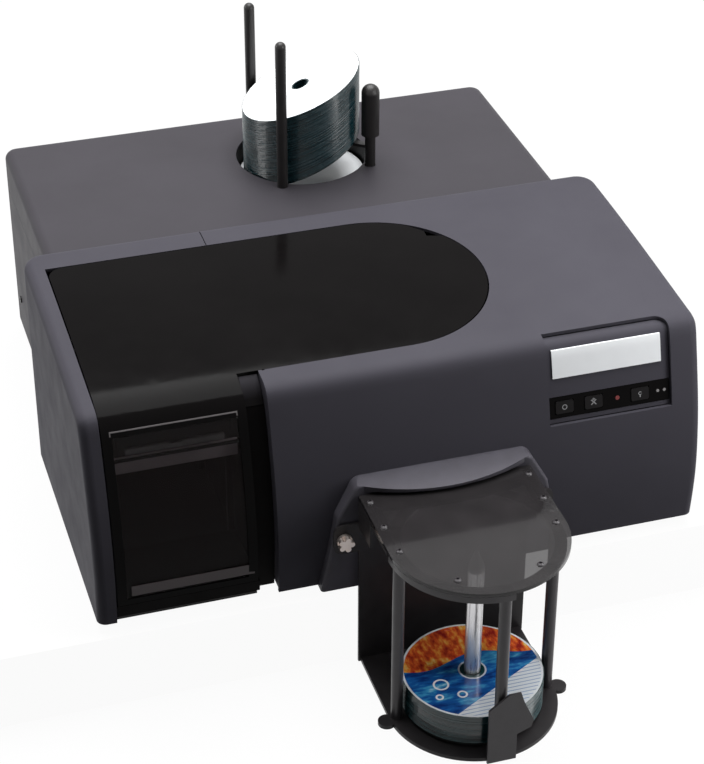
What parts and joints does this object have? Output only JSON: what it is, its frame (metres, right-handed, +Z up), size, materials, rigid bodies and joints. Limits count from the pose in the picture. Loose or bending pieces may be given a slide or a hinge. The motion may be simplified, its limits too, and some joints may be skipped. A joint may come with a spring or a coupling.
{
  "type": "disc label printer",
  "caption": "Desktop disc label printer with a rear disc hopper, hinged black cover, control panel and hanging output bin.",
  "frame": {"origin": "middle of the base pan's underside, midway between the sides and between the front and back faces of the housing", "axes": "+X to the right as seen from the front, +Y from the front panel towards the rear sockets, +Z up"},
  "size_m": [0.532, 0.6792, 0.412],
  "materials": {
    "housing": "satin moulded grey plastic",
    "black_cover": "polished black plastic",
    "smoked": "smoked acrylic",
    "dark_inner": "dark inner plastic",
    "foot_rubber": "moulded rubber",
    "white_gloss": "plain white plate",
    "chute_grey": "fine textured dark grey paint",
    "post_grey": "semi-gloss grey",
    "clear_plate": "tinted clear acrylic",
    "steel": "bright steel",
    "clear_tip": "clear acrylic",
    "bin_felt": "soft black pad",
    "disc_print": null,
    "disc_blank": "white printable discs",
    "button_grey": "soft grey buttons",
    "lamp_red": "red lens",
    "board_green": "circuit board",
    "tray_plastic": "light grey plastic",
    "ink_black": "black cartridge",
    "ink_colour": "colour cartridge"
  },
  "bodies": {
    "housing": {"badge_plate": "white_gloss", "base_pan": "dark_inner", "belt_motor": "steel", "bin_bracket": "chute_grey", "bin_frame": "chute_grey", "bin_pad": "bin_felt", "bin_plate": "clear_plate", "bin_posts": "post_grey", "button_strip": "black_cover", "chute_bezel": "chute_grey", "control_board": "board_green", "disc_drive": "steel", "drive_belt": "bin_felt", "drive_bezel": "black_cover", "drive_shelf": "dark_inner", "engine_bed": "dark_inner", "feet": "foot_rubber", "front_hood": "housing", "guide_rod": "steel", "hinge_brackets": "steel", "hinge_pins": "steel", "hopper_posts": "post_grey", "hopper_well": "housing", "housing_screws": "steel", "inner_frame": "black_cover", "key_board": "board_green", "left_frame": "housing", "lower_disc": "disc_blank", "panel_bezel": "black_cover", "plate_fixings": "steel", "power_inlet": "dark_inner", "power_supply": "steel", "rear_cover": "housing", "rear_shell": "housing", "spindle_tip": "clear_tip", "spindle_tube": "steel", "status_lamps": "lamp_red", "switch_frame": "dark_inner", "tray_rails": "dark_inner", "usb_socket": "dark_inner"},
    "cover": {"access_cover": "black_cover", "smoked_window": "smoked"},
    "carriage": {"carriage": "dark_inner", "cartridge_black": "ink_black", "cartridge_colour": "ink_colour"},
    "pulley_l": {"pulley_left": "tray_plastic"},
    "pulley_r": {"pulley_right": "tray_plastic"},
    "tray": {"carrier_tray": "tray_plastic"},
    "slide_stage": {"tray_slide": "steel"},
    "bin_gate": {"gate_post": "post_grey", "gate_plate": "chute_grey"},
    "blank_stack": {"blank_discs": "disc_blank"},
    "printed_stack": {"printed_discs": "disc_print"},
    "key_power": {"button_power": "button_grey"},
    "key_feed": {"button_feed": "button_grey"},
    "key_tools": {"button_tools": "button_grey"},
    "rocker": {"power_switch": "button_grey"},
    "screw_l": {"thumbscrew_left": "steel"},
    "screw_r": {"thumbscrew_right": "steel"},
    "paddle": {"lift_paddle": "post_grey"}
  },
  "joints": [
    {"name": "cover_hinge", "type": "hinge", "parent": "housing", "child": "cover", "pos_m": [0, -0.0405, 0.1919], "axis": [-1, 0, 0], "range_deg": [0, 68]},
    {"name": "carriage_slide", "type": "slide", "parent": "housing", "child": "carriage", "axis": [-1, 0, 0], "range_m": [0, 0.24]},
    {"name": "pulley_left_turn", "type": "hinge", "parent": "housing", "child": "pulley_l", "pos_m": [-0.104, -0.045, 0.1345], "axis": [0, 0, 1], "range_deg": [-1, 1719.9]},
    {"name": "pulley_right_turn", "type": "hinge", "parent": "housing", "child": "pulley_r", "pos_m": [0.22, -0.045, 0.1345], "axis": [0, 0, 1], "range_deg": [-1, 1719.9]},
    {"name": "tray_travel", "type": "slide", "parent": "housing", "child": "tray", "axis": [0, -1, 0], "range_m": [0, 0.506]},
    {"name": "slide_travel", "type": "slide", "parent": "housing", "child": "slide_stage", "axis": [0, -1, 0], "range_m": [0, 0.4048]},
    {"name": "gate_turn", "type": "hinge", "parent": "housing", "child": "bin_gate", "pos_m": [0.029, -0.344, 0.02], "axis": [0, 0, 1], "range_deg": [0, 50]},
    {"name": "blank_lift", "type": "slide", "parent": "housing", "child": "blank_stack", "axis": [0, 0, 1], "range_m": [0, 0.05]},
    {"name": "printed_lift", "type": "slide", "parent": "housing", "child": "printed_stack", "axis": [0, 0, 1], "range_m": [0, 0.1]},
    {"name": "power_press", "type": "slide", "parent": "housing", "child": "key_power", "axis": [0, 0.9703, -0.2419], "range_m": [0, 0.0008], "stiffness_N_per_m": 220},
    {"name": "feed_press", "type": "slide", "parent": "housing", "child": "key_feed", "axis": [0, 0.9703, -0.2419], "range_m": [0, 0.0008], "stiffness_N_per_m": 220},
    {"name": "tools_press", "type": "slide", "parent": "housing", "child": "key_tools", "axis": [0, 0.9703, -0.2419], "range_m": [0, 0.0008], "stiffness_N_per_m": 220},
    {"name": "rocker_turn", "type": "hinge", "parent": "housing", "child": "rocker", "pos_m": [-0.15, 0.2525, 0.04], "axis": [-1, 0, 0], "range_deg": [0, 12]},
    {"name": "screw_left_turn", "type": "hinge", "parent": "housing", "child": "screw_l", "pos_m": [-0.059, -0.266, 0.053], "axis": [0, 1, 0], "range_deg": [-180, 180]},
    {"name": "screw_right_turn", "type": "hinge", "parent": "housing", "child": "screw_r", "pos_m": [0.117, -0.266, 0.053], "axis": [0, 1, 0], "range_deg": [-180, 180]},
    {"name": "paddle_turn", "type": "hinge", "parent": "housing", "child": "paddle", "pos_m": [0.085, 0.1213, 0.19], "axis": [0, 0, 1], "range_deg": [-35, 35]}
  ],
  "couplings": [
    {"joint": "pulley_left_turn", "follows": "carriage_slide", "rad_per_m": 125},
    {"joint": "pulley_right_turn", "follows": "carriage_slide", "rad_per_m": 125},
    {"joint": "slide_travel", "follows": "tray_travel", "ratio": 0.8}
  ]
}
